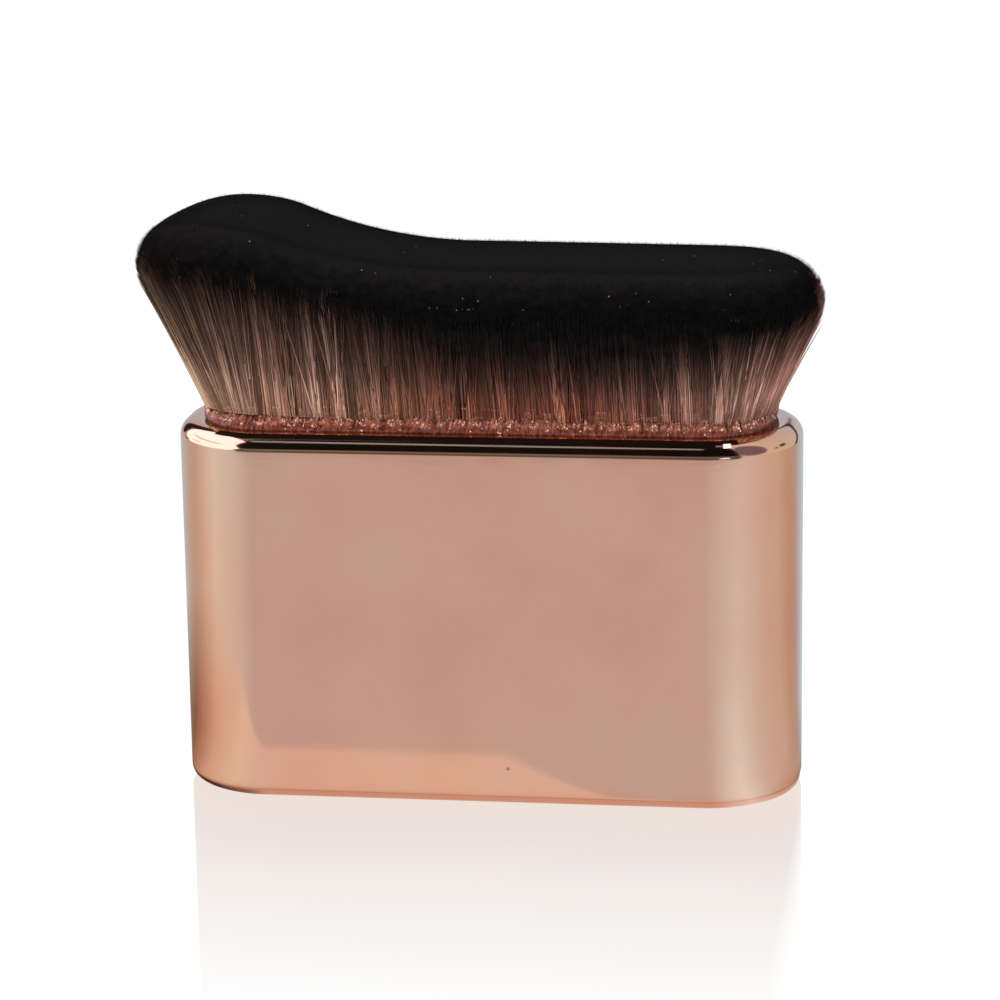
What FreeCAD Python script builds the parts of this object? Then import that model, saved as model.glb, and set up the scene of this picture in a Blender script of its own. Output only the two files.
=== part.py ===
"""Flat kabuki brush for body make-up: a plated, hollow, moulded handle and a wave-topped head of hair.

Millimetres. The origin is the middle of the handle's underside, +X runs along the handle towards the
low end of the head, -Y is the front and +Z is up. The hair is potted in a cup that is pushed up
inside the handle, under its deck, and held there by the posts of the base cap.
"""

import FreeCAD, Part
import math
import os

Vector = FreeCAD.Vector

# Handle, outside
HANDLE_WIDTH = 75.0
HANDLE_DEPTH = 25.0
HANDLE_HEIGHT = 45.0
CORNER_SHARE = 0.448
LIP_RADIUS = 2.2
FOOT_RADIUS = 1.5

# Handle, moulding
WALL = 2.3
DECK_THICKNESS = 2.6
CORE_DRAFT_DEG = 0.5

# Head of hair: its top is a crest arc, a hollow arc, a straight run and a low-end arc, all tangent
PLATEAU_HEIGHT = 19.8
CREST_RISE = 5.1
CREST_PLACE_SHARE = -0.415
CREST_RADIUS = 20.5
HOLLOW_RADIUS = 64.0
RUN_FALL_DEG = 0.6
LOW_END_PLACE_SHARE = 0.39
LOW_END_RADIUS = 92.0
LOW_END_SWEEP_DEG = 30.0
LEAN_DEG = 24.5
RIM_RADIUS = 4.3

# Cup that the hair is potted in
CUP_DEPTH = 16.0
CUP_WALL = 0.9
CUP_FLOOR = 1.5
CUP_FOOT_CHAMFER = 0.5
POTTING_DEPTH = 6.0

# Beads of adhesive
COLLAR_HEIGHT = 1.0
COLLAR_WIDTH = 0.9
COLLAR_SLOPE = 0.15
COLLAR_CHAMFER = 0.25
BOND_HEIGHT = 1.4
BOND_WIDTH = 2.2

# Base cap
CAP_THICKNESS = 2.0
SKIRT_HEIGHT = 7.0
SKIRT_WALL = 1.3
POST_WIDTH = 4.6
POST_RIB = 1.2
POST_GAP = 6.5
POST_SPREAD_SHARE = 0.2
GUSSET_RISE = 9.0
FENCE_HEIGHT = 1.8
FENCE_WALL = 1.0
LUG_LENGTH = 7.0
LUG_HEIGHT = 2.4
LUG_REACH = 0.5
LUG_PLACE_SHARE = 0.24

# Weight and its pad
BALLAST_WIDTH = 11.0
BALLAST_THICKNESS = 6.0
BALLAST_CORNER = 1.5
BALLAST_CHAMFER = 0.5
TAPE_THICKNESS = 0.8
TAPE_MARGIN = 1.0

# Fits
FIT_CLEARANCE = 0.1
OVERRUN = 1.0
SAME_LEVEL = 0.001

# Levels and plans that follow
CORNER_RADIUS = CORNER_SHARE * HANDLE_DEPTH
CORE_DRAFT = math.tan(math.radians(CORE_DRAFT_DEG))
DECK_UNDERSIDE = HANDLE_HEIGHT - DECK_THICKNESS
WALL_AT_DECK = WALL + CORE_DRAFT * DECK_UNDERSIDE
CUP_BOTTOM = DECK_UNDERSIDE - CUP_DEPTH
POTTING_BOTTOM = CUP_BOTTOM + CUP_FLOOR
POTTING_TOP = POTTING_BOTTOM + POTTING_DEPTH
SKIRT_TOP = CAP_THICKNESS + SKIRT_HEIGHT
CUP_INSET = WALL_AT_DECK + FIT_CLEARANCE
WELL_INSET = CUP_INSET + CUP_WALL
ROOT_INSET = WELL_INSET + FIT_CLEARANCE


def outline_inset(inset, level):
    """Closed wire: the handle's plan, drawn in by inset, at a level."""
    return rounded_outline(HANDLE_WIDTH - 2 * inset, HANDLE_DEPTH - 2 * inset, CORNER_RADIUS - inset, level)


def rounded_outline(width, depth, radius, level):
    """Closed wire: a rectangle centred on the Z axis, with round corners."""
    straight_x = width / 2 - radius
    straight_y = depth / 2 - radius
    edges = []
    for quarter in range(4):
        side_x, side_y = ((1, 1), (-1, 1), (-1, -1), (1, -1))[quarter]
        centre = Vector(side_x * straight_x, side_y * straight_y, level)
        start, middle, end = (
            centre + Vector(math.cos(turn), math.sin(turn), 0) * radius
            for turn in (math.pi / 2 * quarter + math.pi / 4 * step for step in range(3))
        )
        if edges:
            edges.append(Part.makeLine(last, start))
        edges.append(Part.Arc(start, middle, end).toShape())
        last = end
    edges.append(Part.makeLine(last, edges[0].Vertexes[0].Point))
    return Part.Wire(edges)


def prism(outline, height):
    """Straight solid standing on a closed wire."""
    return Part.Face(outline).extrude(Vector(0, 0, height))


def ruled_solid(lower, upper):
    """Solid with straight generators between two closed wires."""
    return Part.makeLoft([lower, upper], True, True)


def cavity_inset(level):
    """How far the shell's inner wall stands inside its outer wall: the core widens towards the foot."""
    return WALL + CORE_DRAFT * level


def edges_at(solid, level):
    """Edges that lie flat at a level."""
    return [
        edge
        for edge in solid.Edges
        if max(abs(edge.BoundBox.ZMin - level), abs(edge.BoundBox.ZMax - level)) < SAME_LEVEL
    ]


def snap_wedge(place_x, side, face_y, grow):
    """Snap lug on the long sides of the cap's skirt, or with grow the pocket for it in the shell."""
    middle = CAP_THICKNESS + SKIRT_HEIGHT / 2
    half = LUG_HEIGHT / 2 + grow
    reach = LUG_REACH + grow
    start = place_x - LUG_LENGTH / 2 - grow
    corners = [
        Vector(start, side * (face_y - SKIRT_WALL / 2), middle - half),
        Vector(start, side * face_y, middle - half),
        Vector(start, side * (face_y + reach), middle),
        Vector(start, side * face_y, middle + half),
        Vector(start, side * (face_y - SKIRT_WALL / 2), middle + half),
    ]
    face = Part.Face(Part.makePolygon(corners + corners[:1]))
    return face.extrude(Vector(LUG_LENGTH + 2 * grow, 0, 0))


def skirt_inset():
    """Inset of the cap's skirt from the handle's outer wall."""
    return cavity_inset(SKIRT_TOP) + FIT_CLEARANCE


def snap_wedges(grow):
    """The four lugs, two on each long side."""
    face_y = HANDLE_DEPTH / 2 - skirt_inset()
    return [
        snap_wedge(along * LUG_PLACE_SHARE * HANDLE_WIDTH, side, face_y, grow)
        for along in (-1, 1)
        for side in (-1, 1)
    ]


def handle_shell():
    """Hollow moulding, open underneath, with a round lip and a deck that the hair comes up through."""
    body = prism(outline_inset(0, 0), HANDLE_HEIGHT)
    body = body.makeFillet(LIP_RADIUS, edges_at(body, HANDLE_HEIGHT))
    body = body.makeFillet(FOOT_RADIUS, edges_at(body, 0))
    cavity = ruled_solid(
        outline_inset(cavity_inset(-OVERRUN), -OVERRUN),
        outline_inset(cavity_inset(DECK_UNDERSIDE), DECK_UNDERSIDE),
    )
    aperture = prism(outline_inset(WELL_INSET, DECK_UNDERSIDE - OVERRUN), DECK_THICKNESS + 2 * OVERRUN)
    return body.cut([cavity, aperture] + snap_wedges(FIT_CLEARANCE))


def hair_cup():
    """Thin cup, pushed up against the underside of the deck."""
    body = prism(outline_inset(CUP_INSET, CUP_BOTTOM), CUP_DEPTH)
    body = body.makeChamfer(CUP_FOOT_CHAMFER, edges_at(body, CUP_BOTTOM))
    inside = prism(outline_inset(WELL_INSET, POTTING_BOTTOM), CUP_DEPTH)
    return body.cut(inside)


def potting_resin():
    """Cast bed of resin in the bottom of the cup, which holds the fibres' ends."""
    return prism(outline_inset(WELL_INSET, POTTING_BOTTOM), POTTING_DEPTH)


def cup_bond():
    """Bead of adhesive all round, between the cup's underside and the shell's wall."""
    level = CUP_BOTTOM - BOND_HEIGHT
    bead = ruled_solid(
        outline_inset(cavity_inset(level), level),
        outline_inset(cavity_inset(CUP_BOTTOM), CUP_BOTTOM),
    )
    middle = ruled_solid(
        outline_inset(cavity_inset(level) + BOND_WIDTH / 2, level),
        outline_inset(cavity_inset(CUP_BOTTOM) + BOND_WIDTH, CUP_BOTTOM),
    )
    return bead.cut(middle)


def arc_about(centre, start, end):
    """Arc of under half a turn about centre."""
    middle = centre + ((start + end) / 2 - centre).normalize() * (start - centre).Length
    return Part.Arc(start, middle, end).toShape()


def wave_cutter():
    """Solid above the head: its underside is the wave that the hair is trimmed to."""
    fall = math.radians(RUN_FALL_DEG)
    along = Vector(math.cos(fall), 0, -math.sin(fall))
    upwards = Vector(math.sin(fall), 0, math.cos(fall))
    run_middle = Vector(0, -HANDLE_DEPTH, HANDLE_HEIGHT + PLATEAU_HEIGHT)
    crest_centre = run_middle + Vector(CREST_PLACE_SHARE * HANDLE_WIDTH, 0, CREST_RISE - CREST_RADIUS)

    offset = run_middle + upwards * HOLLOW_RADIUS - crest_centre
    reach = CREST_RADIUS + HOLLOW_RADIUS
    level_part = offset.dot(along)
    hollow_centre = crest_centre + offset + along * (
        math.sqrt(level_part**2 - offset.Length**2 + reach**2) - level_part
    )
    crest_start = crest_centre - Vector(CREST_RADIUS, 0, 0)
    crest_end = crest_centre + (hollow_centre - crest_centre) * (CREST_RADIUS / reach)
    run_start = hollow_centre - upwards * HOLLOW_RADIUS
    run_end = run_middle + along * (LOW_END_PLACE_SHARE * HANDLE_WIDTH)
    low_centre = run_end - upwards * LOW_END_RADIUS
    turn = math.radians(LOW_END_SWEEP_DEG)
    low_end = low_centre + Vector(math.sin(turn), 0, math.cos(turn)) * LOW_END_RADIUS

    top = HANDLE_HEIGHT + PLATEAU_HEIGHT + 3 * CREST_RISE
    far_left = crest_start - Vector(HANDLE_DEPTH, 0, 0)
    border = [
        low_end,
        Vector(low_end.x, low_end.y, top),
        Vector(far_left.x, far_left.y, top),
        far_left,
        crest_start,
    ]
    edges = Part.makePolygon(border).Edges
    edges.append(arc_about(crest_centre, crest_start, crest_end))
    edges.append(arc_about(hollow_centre, crest_end, run_start))
    edges.append(Part.makeLine(run_start, run_end))
    edges.append(arc_about(low_centre, run_end, low_end))
    return Part.Face(Part.Wire(edges)).extrude(Vector(0, 2 * HANDLE_DEPTH, 0))


def flared_hair():
    """The hair above the deck, leaning out on every side, before it is trimmed."""
    height = PLATEAU_HEIGHT + 2 * CREST_RISE
    spread = height * math.tan(math.radians(LEAN_DEG))
    top = outline_inset(ROOT_INSET - spread, HANDLE_HEIGHT + height)
    return ruled_solid(outline_inset(ROOT_INSET, HANDLE_HEIGHT), top)


def rim_edges(head):
    """Top edges of the faces that rise from the deck."""
    sides = [face for face in head.Faces if face.BoundBox.ZMin < HANDLE_HEIGHT + SAME_LEVEL]
    level = HANDLE_HEIGHT + PLATEAU_HEIGHT / 2
    return [edge for face in sides for edge in face.Edges if edge.BoundBox.ZMin > level]


def bristle_tuft():
    """The hair as one solid: a straight root in the cup, and a flared head with a waved top.

    The rim is cut back by two flats that touch its radius: a chamfer, then one along its outer edge.
    """
    turn = math.pi / 2 + math.radians(LEAN_DEG)
    head = flared_hair().cut(wave_cutter())
    for wide, narrow in ((2, 4), (4, 8)):
        size = RIM_RADIUS * (math.tan(turn / wide) - math.tan(turn / narrow))
        head = head.makeChamfer(size, rim_edges(head))
    root = prism(outline_inset(ROOT_INSET, POTTING_TOP), HANDLE_HEIGHT - POTTING_TOP)
    return head.fuse(root).removeSplitter()


def resin_collar():
    """Glossy bead of resin on the deck, round the foot of the hair."""
    lower = outline_inset(ROOT_INSET - COLLAR_WIDTH, HANDLE_HEIGHT)
    upper = outline_inset(ROOT_INSET - COLLAR_WIDTH + COLLAR_SLOPE, HANDLE_HEIGHT + COLLAR_HEIGHT)
    bead = ruled_solid(lower, upper)
    bead = bead.makeChamfer(COLLAR_CHAMFER, edges_at(bead, HANDLE_HEIGHT + COLLAR_HEIGHT))
    return bead.cut(flared_hair())


def base_cap():
    """Plate that closes the handle, flush with its foot, with a snap skirt and posts that hold the cup up."""
    plate = prism(outline_inset(skirt_inset(), 0), SKIRT_TOP)
    hollow = prism(outline_inset(skirt_inset() + SKIRT_WALL, CAP_THICKNESS), SKIRT_HEIGHT + OVERRUN)
    return plate.cut(hollow).fuse(snap_wedges(0) + fence_walls() + support_posts()).removeSplitter()


def post_place():
    """Distance of the posts from the middle, along the handle."""
    return skirt_end() - POST_GAP - POST_WIDTH / 2


def skirt_end():
    """Distance of the skirt's inner face from the middle, along the handle."""
    return HANDLE_WIDTH / 2 - skirt_inset() - SKIRT_WALL


def ballast_length():
    """The weight fills the length between the posts, inside its fence."""
    return 2 * (post_place() - POST_WIDTH / 2 - FENCE_WALL - FIT_CLEARANCE)


def fence_walls():
    """Low wall round the weight, as a list of one solid."""
    length = ballast_length() + 2 * FIT_CLEARANCE
    width = BALLAST_WIDTH + 2 * FIT_CLEARANCE
    outer = rounded_outline(
        length + 2 * FENCE_WALL, width + 2 * FENCE_WALL, BALLAST_CORNER + FENCE_WALL, CAP_THICKNESS
    )
    inner = rounded_outline(length, width, BALLAST_CORNER, CAP_THICKNESS)
    return [prism(outer, FENCE_HEIGHT).cut(prism(inner, FENCE_HEIGHT + OVERRUN))]


def rib(start, end, profile_rise):
    """Upright web of the rib's thickness, from one point to another, with a rise at each end."""
    side = Vector(0, 0, 1).cross(end - start).normalize() * (POST_RIB / 2)
    corners = [start, end, end + Vector(0, 0, profile_rise[1]), start + Vector(0, 0, profile_rise[0])]
    corners = [corner - side for corner in corners]
    return Part.Face(Part.makePolygon(corners + corners[:1])).extrude(side * 2)


def support_posts():
    """Four posts of crossed ribs, each with a gusset to the end of the skirt."""
    rise = CUP_BOTTOM - CAP_THICKNESS
    ribs = []
    for along in (-1, 1):
        for across in (-1, 1):
            foot = Vector(along * post_place(), across * POST_SPREAD_SHARE * HANDLE_DEPTH, CAP_THICKNESS)
            half_x = Vector(POST_WIDTH / 2, 0, 0)
            half_y = Vector(0, POST_WIDTH / 2, 0)
            ribs.append(rib(foot - half_x, foot + half_x, (rise, rise)))
            ribs.append(rib(foot - half_y, foot + half_y, (rise, rise)))
            gusset_end = Vector(along * skirt_end(), foot.y, CAP_THICKNESS)
            ribs.append(rib(foot, gusset_end, (SKIRT_HEIGHT + GUSSET_RISE, SKIRT_HEIGHT - LUG_HEIGHT)))
    return ribs


def ballast_tape():
    """Foam pad that sticks the weight to the cap."""
    outline = rounded_outline(
        ballast_length() - 2 * TAPE_MARGIN, BALLAST_WIDTH - 2 * TAPE_MARGIN, BALLAST_CORNER, CAP_THICKNESS
    )
    return prism(outline, TAPE_THICKNESS)


def ballast_plate():
    """Steel bar that gives the handle its weight."""
    foot = CAP_THICKNESS + TAPE_THICKNESS
    bar = prism(rounded_outline(ballast_length(), BALLAST_WIDTH, BALLAST_CORNER, foot), BALLAST_THICKNESS)
    ends = edges_at(bar, foot) + edges_at(bar, foot + BALLAST_THICKNESS)
    return bar.makeChamfer(BALLAST_CHAMFER, ends)


PIECES = {
    "handle_shell": handle_shell,
    "base_cap": base_cap,
    "ballast_plate": ballast_plate,
    "ballast_tape": ballast_tape,
    "hair_cup": hair_cup,
    "potting_resin": potting_resin,
    "cup_bond": cup_bond,
    "resin_collar": resin_collar,
    "bristle_tuft": bristle_tuft,
}


def main():
    os.makedirs("parts", exist_ok=True)
    for name, make in PIECES.items():
        shape = make()
        shape.exportStep(f"parts/{name}.step")
        print(name, len(shape.Solids), shape.isValid(), round(shape.Volume, 1))


main()
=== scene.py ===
"""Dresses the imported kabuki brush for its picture: plating, hair, resin and the parts inside the handle.

Laid out as a Blender add-on and run as a script. Lengths are metres. +X runs along the handle towards
the low end of the hair, -Y is the front and +Z is up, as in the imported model.
"""

import math
from functools import partial

import bmesh
import bpy
import numpy as np
from bpy.props import FloatProperty, FloatVectorProperty, IntProperty, PointerProperty, StringProperty
from mathutils import Matrix, Vector, noise


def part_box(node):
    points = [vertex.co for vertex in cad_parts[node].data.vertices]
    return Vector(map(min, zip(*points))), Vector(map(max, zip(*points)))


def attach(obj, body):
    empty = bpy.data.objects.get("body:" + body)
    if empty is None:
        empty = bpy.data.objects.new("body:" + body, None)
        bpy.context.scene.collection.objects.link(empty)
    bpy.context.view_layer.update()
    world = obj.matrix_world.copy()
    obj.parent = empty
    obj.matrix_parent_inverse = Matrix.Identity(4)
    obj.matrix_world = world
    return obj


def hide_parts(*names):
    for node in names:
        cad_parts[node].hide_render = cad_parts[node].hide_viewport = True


bl_info = {
    "name": "Kabuki brush dressing",
    "version": (1, 0, 0),
    "blender": (4, 5, 0),
    "location": "3D View > Sidebar > Brush",
    "description": "Plated handle, two-tone hair and studio for the packed kabuki brush",
    "category": "Object",
}

MM = 0.001

# Rows of the head's surface up its side, over its rim and in to its middle line.
SIDE_ROWS, RIM_ROWS, TOP_ROWS = 10, 12, 12
RIM_END = SIDE_ROWS + RIM_ROWS
BANDS = 6
SINK_WIDTH = 17 * MM
# How far the dense hair lies behind the drawn fibres' tips, and how far it goes down into the handle.
BODY_IN, BODY_DOWN, BODY_SUNK = 0.5 * MM, 0.35 * MM, 6 * MM
# The collar: its rows, the widths of its fine and broad ribs and of its sags, and how far it reaches into the hair.
COLLAR_ROWS, FINE_RIB, BROAD_RIB, SAG, COLLAR_IN = 10, 0.22 * MM, 0.9 * MM, 6 * MM, 0.3 * MM

FIBRE_MAP = "OFBake"
# Cells round the head on the fibres' map, for strands, clumps and glinting threads, and rows of glints up it.
STRANDS, CLUMPS, THREADS, GLINT_ROWS = 560.0, 110.0, 1100.0, 100.0
# Share of the head's height where the black starts, by place from the low end (0) to the high end (1).
DYE_LEVELS = [
    (0.0, 0.97), (0.05, 0.84), (0.1, 0.72), (0.16, 0.67), (0.22, 0.6), (0.34, 0.58), (0.46, 0.58), (0.58, 0.67),
    (0.68, 0.77), (0.78, 0.76), (0.86, 0.79), (0.92, 0.9), (1.0, 1.0),
]
# How much of the feet's colour is left, by height as a share of the level where the black starts. Above 1 near the feet
# it is painted light that brightens them.
FADE_AT_HIGH_END = [
    (0.0, 1.6), (0.12, 1.6), (0.19, 1.3), (0.3, (0.78, 0.76, 0.77)), (0.44, (0.44, 0.4, 0.4)),
    (0.6, (0.32, 0.3, 0.3)), (0.74, (0.21, 0.19, 0.19)), (0.89, (0.085, 0.065, 0.065)), (1.0, 0.0),
]
FADE_IN_MIDDLE = [
    (0.0, (1.35, 1.3, 1.3)), (0.12, (1.3, 1.2, 1.2)), (0.227, (1.0, 0.82, 0.82)), (0.38, (0.49, 0.42, 0.45)),
    (0.59, (0.187, 0.157, 0.158)), (0.79, (0.054, 0.042, 0.047)), (1.0, 0.0),
]
FADE_AT_LOW_END = [
    (0.0, 1.3), (0.3, (1.25, 1.2, 1.2)), (0.48, (1.1, 1.0, 1.0)), (0.67, (0.58, 0.5, 0.5)),
    (0.87, (0.18, 0.14, 0.13)), (1.0, 0.0),
]
# Painted light and shade on the dyed tips, as a multiplier of their black, up the head's side (to 1) and in over its
# top (to PAINTED_TIP_LIGHT_TOP).
PAINTED_TIP_LIGHT = [
    (0.0, 1.4), (0.62, 1.4), (0.7, 1.1), (0.76, 0.85), (0.82, 0.65), (0.93, 0.45), (1.0, 0.48), (1.1, 0.52),
    (1.2, 0.64), (1.3, 0.9), (1.4, 1.3), (1.6, 1.7),
]
PAINTED_TIP_LIGHT_TOP = 1.6

# Reach and level of the floor, and of the sheet that only the plating sees.
FLOOR_SIZE, FLOOR_LEVEL = 3.0, -0.02 * MM
SHEET_SIZE, SHEET_LEVEL = 0.7, -0.6 * MM
# How much the floor mirrors from a hand's breadth in front of the brush (0) to just behind its middle (1).
FLOOR_POLISH = [
    (0.0, 0.0), (0.123, (0.154, 0.155, 0.148)), (0.19, (0.2, 0.2, 0.227)), (0.335, (0.29, 0.34, 0.38)),
    (0.494, (0.4, 0.51, 0.525)), (0.633, (0.54, 0.64, 0.66)), (0.713, (0.47, 0.66, 0.76)),
    (0.86, (0.47, 0.64, 0.74)), (1.0, 0.0),
]
# Colours that the sheet sends to the walls, by bearing in degrees from the front, positive to the right.
SHEET_FAR = [
    (-155, (0.5, 0.62, 0.7)), (-130, (0.56, 0.62, 0.62)), (-109, (0.57, 0.55, 0.5)), (-97, (0.62, 0.6, 0.55)),
    (-84, (0.72, 0.73, 0.7)), (-66, (0.78, 0.93, 0.93)), (-43, (0.71, 0.8, 0.84)), (-30, (0.66, 0.74, 0.8)),
    (-17, (0.6, 0.62, 0.65)), (0, (0.61, 0.63, 0.66)), (13, (0.65, 0.72, 0.78)), (26, (0.69, 0.8, 0.86)),
    (39, (0.73, 0.86, 0.92)), (52, (0.71, 0.82, 0.87)), (66, (0.68, 0.75, 0.78)), (80, (0.67, 0.68, 0.66)),
    (96, (0.64, 0.66, 0.62)), (115, (0.57, 0.51, 0.44)), (131, (0.52, 0.47, 0.46)), (150, (0.52, 0.64, 0.72)),
]
SHEET_NEAR = [
    (-180, (0.4, 0.36, 0.33)), (-145, (0.3, 0.22, 0.18)), (-109, (0.26, 0.17, 0.12)), (-95, (0.42, 0.26, 0.19)),
    (-78, (0.6, 0.43, 0.36)), (-65, (0.74, 0.61, 0.53)), (-51, (0.78, 0.71, 0.64)), (-31, (0.83, 0.86, 0.8)),
    (-12, (0.78, 0.79, 0.81)), (10, (0.81, 0.74, 0.69)), (40, (0.76, 0.76, 0.74)), (66, (0.66, 0.66, 0.64)),
    (96, (0.56, 0.5, 0.44)), (130, (0.45, 0.4, 0.38)), (180, (0.4, 0.36, 0.33)),
]
# Where the near part of the sheet starts to fade and where it is gone, in tenths of a metre from the handle.
SHEET_REACH = [
    (-180, (0.2, 0.5, 0)), (-140, (0.2, 0.8, 0)), (-100, (0.22, 0.9, 0)), (-60, (0.22, 0.95, 0)),
    (-45, (0.24, 0.85, 0)), (-36, (0.33, 0.66, 0)), (-28, (0.37, 0.46, 0)), (-22, (0.3, 0.34, 0)),
    (-15, (0.24, 0.265, 0)), (-8, (0.208, 0.22, 0)), (60, (0.2, 0.21, 0)), (110, (0.2, 0.4, 0)),
    (180, (0.2, 0.5, 0)),
]
# How much nearer the near part stops to the right of the middle, both in fiftieths of a metre.
SHEET_CUT = [(0.0, 0.0), (0.25, 0.3), (0.515, 0.64), (0.8, 0.86), (1.0, 0.9)]
SHEET_FLARE = [(8, 0.0), (24, (0.14, 0.28, 0.4)), (34, (0.2, 0.38, 0.52)), (46, (0.08, 0.18, 0.26)), (60, 0.0)]
# What the foot's rounding mirrors from under the handle: painted shade.
SHEET_FOOT = [
    (-180, (0.3, 0.22, 0.18)), (-150, (0.1, 0.06, 0.04)), (-40, (0.08, 0.04, 0.03)), (-12, (0.3, 0.2, 0.17)),
    (0, (0.68, 0.52, 0.46)), (60, (0.74, 0.58, 0.52)), (120, (0.5, 0.36, 0.3)), (180, (0.3, 0.22, 0.18)),
]
# How much of the sheet is gone far off, by bearing, and the distances where it starts to go and is gone.
SHEET_GONE, SHEET_GONE_FROM, SHEET_GONE_TO = [(-38, 0.0), (-32, 0.8), (40, 0.8), (48, 0.0)], 0.22, 0.3
ROOM_WALLS = [
    (-180, (0.52, 0.58, 0.68)), (-128, 0.5), (-60, 0.45), (-34, (0.02, 0.018, 0.016)),
    (-31, (0.008, 0.007, 0.006)), (44, (0.008, 0.006, 0.008)), (50, (0.72, 0.75, 0.66)),
    (90, (0.7, 0.75, 0.68)), (130, (0.62, 0.68, 0.66)), (180, (0.52, 0.58, 0.68)),
]
ROOM_RADIUS = 0.6
# Name, bearings, lifts and colour of each thing that the lip mirrors, in degrees and linear light. Each card
# stands a little nearer than the one before it.
CARDS = [
    ("flag_left", (-146, -126), (4, 64), (0.02, 0.015, 0.015)),
    ("flag_high", (-140, -50), (60, 78), (0.015, 0.012, 0.012)),
    ("window", (-128, -30), (-4, 60), (1.9, 1.76, 1.98)),
    ("flag_round", (-40, 6), (10, 54), (0.008, 0.007, 0.006)),
    ("bar_low", (-125, -113), (1, 5), (0.15, 0.1, 0.08)),
    ("bar_high", (-106, -88), (8, 10), (0.3, 0.2, 0.15)),
    ("ceiling_line", (-33, 4), (52, 61), (0.32, 0.46, 0.48)),
    ("floor_line", (-36, 44), (4, 14), (0.2, 0.22, 0.19)),
    ("skirting", (-36, 44), (-2, 5), (0.13, 0.11, 0.075)),
    ("window_bar", (-112, -58), (21, 26), (1.15, 0.85, 0.62)),
    ("screen", (46, 84), (6, 58), (0.2, 0.18, 0.26)),
    ("spark_low", (22, 34), (-4, 6), (1.4, 1.7, 2.2)),
    ("spot_near", (94, 100), (14, 20), (0.25, 0.18, 0.14)),
    ("spot_far", (103, 115), (14, 24), (0.12, 0.08, 0.06)),
]
CARD_RADIUS, CARD_STEP, CARD_ROUNDNESS = 0.56, 0.004, 0.8
# Bearings and lifts along the dark edge that the right end of the lip mirrors, its radius and its half width.
EDGE_PATH = [(156, 68), (165, 57), (172, 44), (177, 31), (177, 24), (171, 20), (158, 18), (144, 8), (132, -3)]
EDGE_RADIUS, EDGE_HALF_WIDTH, EDGE_COLOUR = 0.49, 3, (0.06, 0.03, 0.022)
# What stands just over the lip: name, insets from the handle's outline, turns round the corners (left, then
# right) and colour.
OVER_LIP = [
    ("strip", (0.1 * MM, 2.6 * MM), (-42, -32, -22, -12, 0), (0, 10, 20, 30), (0.012, 0.01, 0.01)),
    ("gleam", (-0.3 * MM, 0.3 * MM), (), (11, 14, 17), (0.3, 0.34, 0.48)),
    ("spark", (-1.1 * MM, 0.9 * MM), (), (17, 20, 23), (2.0, 2.3, 2.8)),
]
OVER_LIP_HEIGHT, OVER_LIP_STEP = 2 * MM, 0.1 * MM
# What the handle mirrors where the floor mirrors the handle.
MIRRORED_AGAIN = 0.14
LAMP_AIM = 45 * MM
WARM, COOL = (1.0, 0.97, 0.93), (0.95, 0.97, 1.0)

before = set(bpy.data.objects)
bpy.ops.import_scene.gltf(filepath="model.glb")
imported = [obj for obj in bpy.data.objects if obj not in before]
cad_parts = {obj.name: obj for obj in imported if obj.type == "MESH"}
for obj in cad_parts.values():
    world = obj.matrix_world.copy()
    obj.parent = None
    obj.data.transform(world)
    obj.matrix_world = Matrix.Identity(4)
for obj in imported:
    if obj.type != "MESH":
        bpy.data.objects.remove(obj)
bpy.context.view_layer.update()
shell_low, shell_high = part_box("handle_shell")
cup_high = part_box("hair_cup")[1]


# Small helpers


def linear(code):
    """Linear RGB of an sRGB hex colour."""
    values = [int(code[i : i + 2], 16) / 255 for i in (1, 3, 5)]
    return tuple(v / 12.92 if v <= 0.04045 else ((v + 0.055) / 1.055) ** 2.4 for v in values)


def rgba(colour):
    """Colour with its alpha, from a grey level or from three values."""
    return (colour,) * 3 + (1.0,) if isinstance(colour, (int, float)) else tuple(colour) + (1.0,)


def add(tree, kind, *values, **named):
    """Add one node; a kind with no family name is a shader node, and its operation may stand after it.

    Values fill its inputs in order. A name in small letters is a setting of its own, or the stops of its
    ramp: places and colours. A name with a capital is an input. What fills an input is a constant, a socket,
    or a node, which gives its first output.
    """
    kind, _, operation = kind.partition(" ")
    made = tree.nodes.new(kind if "Node" in kind else "ShaderNode" + kind)
    if operation:
        made.operation = operation
    ramp_stops = named.pop("stops", ())
    for name, setting in named.items():
        if name[0].islower():
            setattr(made, name, setting)
    inputs = [socket for socket in made.inputs if socket.enabled]
    filled = list(zip(inputs, values))
    for name, value in named.items():
        if name[0].isupper():
            filled.append((next(socket for socket in inputs if socket.name == name.replace("_", " ")), value))
    for socket, value in filled:
        if isinstance(value, bpy.types.Node):
            value = next(output for output in value.outputs if output.enabled)
        if isinstance(value, bpy.types.NodeSocket):
            tree.links.new(value, socket)
        else:
            socket.default_value = value
    for index, (place, colour) in enumerate(ramp_stops):
        elements = made.color_ramp.elements
        if index == 0:
            elements.remove(elements[1])
            elements[0].position, elements[0].color = place, rgba(colour)
        else:
            elements.new(place).color = rgba(colour)
    return made


def blank_tree(owner):
    """Empty the node tree of a material or a world, and give the function that adds a node to it."""
    owner.use_nodes = True
    owner.node_tree.nodes.clear()
    return partial(add, owner.node_tree)


def blank_material(name):
    material = bpy.data.materials.new(name)
    return material, blank_tree(material)


def bearing_stops(stops):
    """Stops by bearing, in degrees from the front, as the stops of a ramp."""
    return [(0.5 + degrees / 360, colour) for degrees, colour in stops]


def mesh_piece(name, points, faces, material):
    """Smooth-shaded object at the origin from points and faces."""
    mesh = bpy.data.meshes.new(name)
    mesh.from_pydata([tuple(p) for p in points], [], faces)
    mesh.validate()
    mesh.shade_smooth()
    if material:
        mesh.materials.append(material)
    piece = bpy.data.objects.new(name, mesh)
    bpy.context.scene.collection.objects.link(piece)
    return piece


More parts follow.
